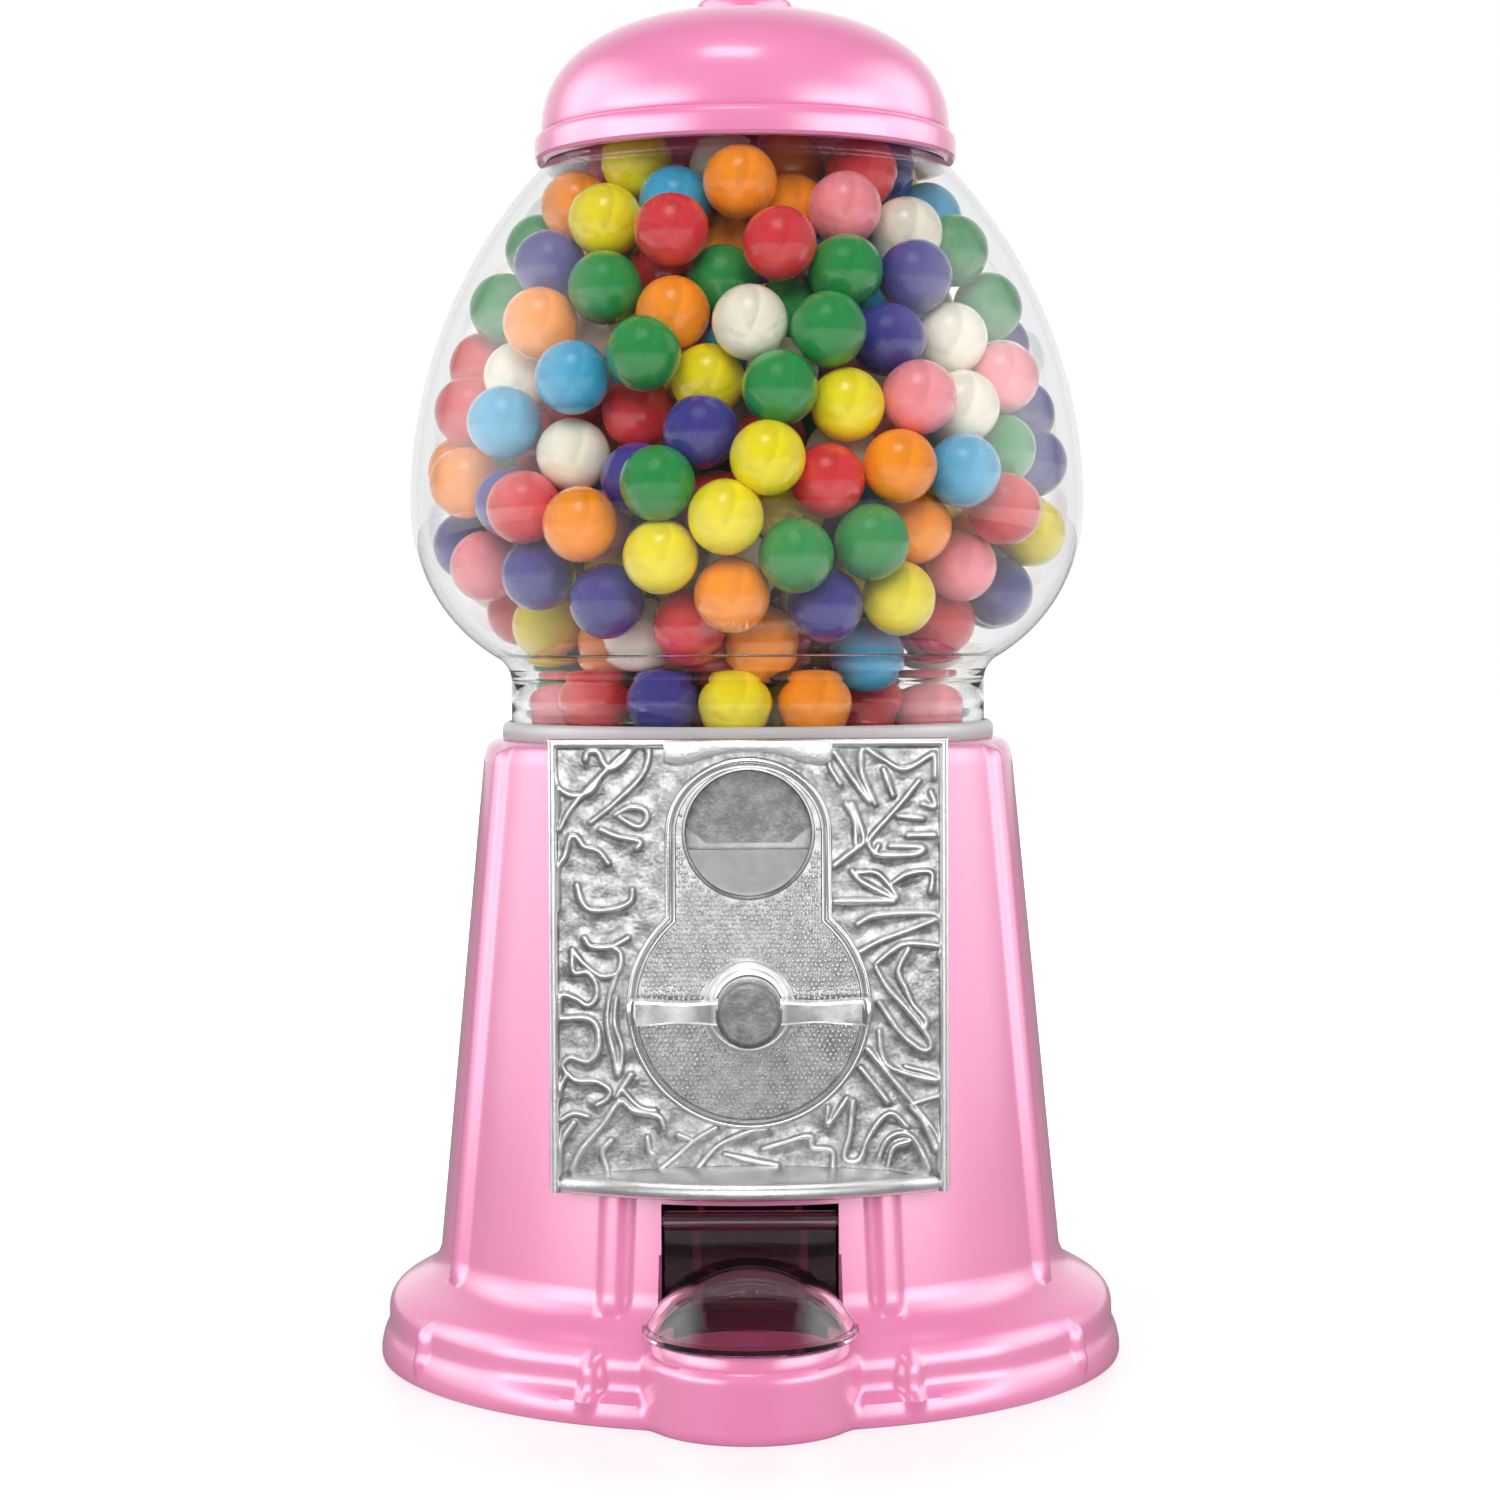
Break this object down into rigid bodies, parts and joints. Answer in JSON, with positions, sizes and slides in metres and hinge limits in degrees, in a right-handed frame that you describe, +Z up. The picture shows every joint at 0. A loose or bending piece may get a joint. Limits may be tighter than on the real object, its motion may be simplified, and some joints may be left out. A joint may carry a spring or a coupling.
{
  "type": "gumball machine",
  "caption": "Tabletop gumball machine: cast body on a round stepped foot, clear globe of gumballs, domed lid, coin mechanism with winged handle and a hinged clear chute door.",
  "frame": {"origin": "on the machine's vertical axis, on the surface it stands on", "axes": "+Z up along the tie rod, -Y out of the front with the handle and the cup"},
  "size_m": [0.166, 0.177, 0.3014],
  "materials": {
    "pink_enamel": "glossy baked enamel",
    "zinc_plate": "zinc plated sheet",
    "black_rubber": "moulded rubber",
    "cast_metal": "cast relief, lightly polished",
    "polished_metal": "polished cast metal",
    "grey_metal": "smooth satin",
    "dull_metal": "dull, blotchy casting",
    "brass_bush": "turned",
    "steel": "drawn rod",
    "screw_steel": "zinc plated",
    "white_nylon": "moulded",
    "chute_plastic": "moulded",
    "collar_plastic": "pale translucent moulding",
    "clear_plastic": "clear moulding",
    "clear_glass": "clear blown globe",
    "gumball_red": "candy shell",
    "gumball_orange": "candy shell",
    "gumball_yellow": "candy shell",
    "gumball_green": "candy shell",
    "gumball_sky": "candy shell",
    "gumball_indigo": "candy shell",
    "gumball_pink": "candy shell",
    "gumball_white": "candy shell"
  },
  "bodies": {
    "machine": {"body_casting": "pink_enamel", "bottom_cover": "zinc_plate", "cover_screws": "screw_steel", "coin_plug": "black_rubber", "front_plate": "cast_metal", "plate_screws": "screw_steel", "handle_bezel": "cast_metal", "pawl_pin": "steel", "coin_ledge": "grey_metal", "coin_plate": "dull_metal", "mechanism_bracket": "zinc_plate", "bracket_screws": "screw_steel", "shaft_bush": "brass_bush", "hopper_floor": "white_nylon", "rod_bridge": "zinc_plate", "bridge_screws": "screw_steel", "tie_rod": "steel", "rod_stud": "steel", "rod_nut": "steel", "ball_guard": "white_nylon", "chute": "chute_plastic", "chute_screws": "screw_steel", "door_pin": "steel", "globe_ring": "collar_plastic", "globe": "clear_glass", "gumballs_red": "gumball_red", "gumballs_orange": "gumball_orange", "gumballs_yellow": "gumball_yellow", "gumballs_green": "gumball_green", "gumballs_sky": "gumball_sky", "gumballs_indigo": "gumball_indigo", "gumballs_pink": "gumball_pink", "gumballs_white": "gumball_white"},
    "handle": {"handle": "polished_metal", "drive_shaft": "steel", "coin_wheel": "grey_metal", "shaft_spacer": "brass_bush", "drive_gear": "white_nylon", "shaft_nut": "steel"},
    "dispenser": {"gumball_wheel": "white_nylon", "wheel_crown": "white_nylon", "wheel_gumballs": "gumball_red"},
    "door": {"chute_door": "clear_plastic"},
    "lid_cap": {"lid": "pink_enamel"},
    "knob": {"lid_knob": "pink_enamel"},
    "pawl": {"stop_pawl": "grey_metal"}
  },
  "joints": [
    {"name": "wheel_turn", "type": "hinge", "parent": "machine", "child": "dispenser", "pos_m": [0, 0, 0.128], "axis": [0, 0, 1], "continuous": true},
    {"name": "handle_turn", "type": "hinge", "parent": "machine", "child": "handle", "pos_m": [0, -0.06, 0.0835], "axis": [0, 1, 0], "continuous": true},
    {"name": "door_swing", "type": "hinge", "parent": "machine", "child": "door", "pos_m": [0, -0.0636, 0.0396], "axis": [-1, 0, 0], "range_deg": [0, 55]},
    {"name": "lid_lift", "type": "slide", "parent": "machine", "child": "lid_cap", "axis": [0, 0, 1], "range_m": [0, 0.05]},
    {"name": "knob_turn", "type": "hinge", "parent": "lid_cap", "child": "knob", "pos_m": [0, 0, 0.298], "axis": [0, 0, 1], "continuous": true},
    {"name": "pawl_swing", "type": "hinge", "parent": "machine", "child": "pawl", "pos_m": [-0.024, -0.054, 0.1165], "axis": [0, 1, 0], "range_deg": [0, 12]}
  ],
  "couplings": [
    {"joint": "handle_turn", "follows": "wheel_turn", "ratio": 2}
  ]
}
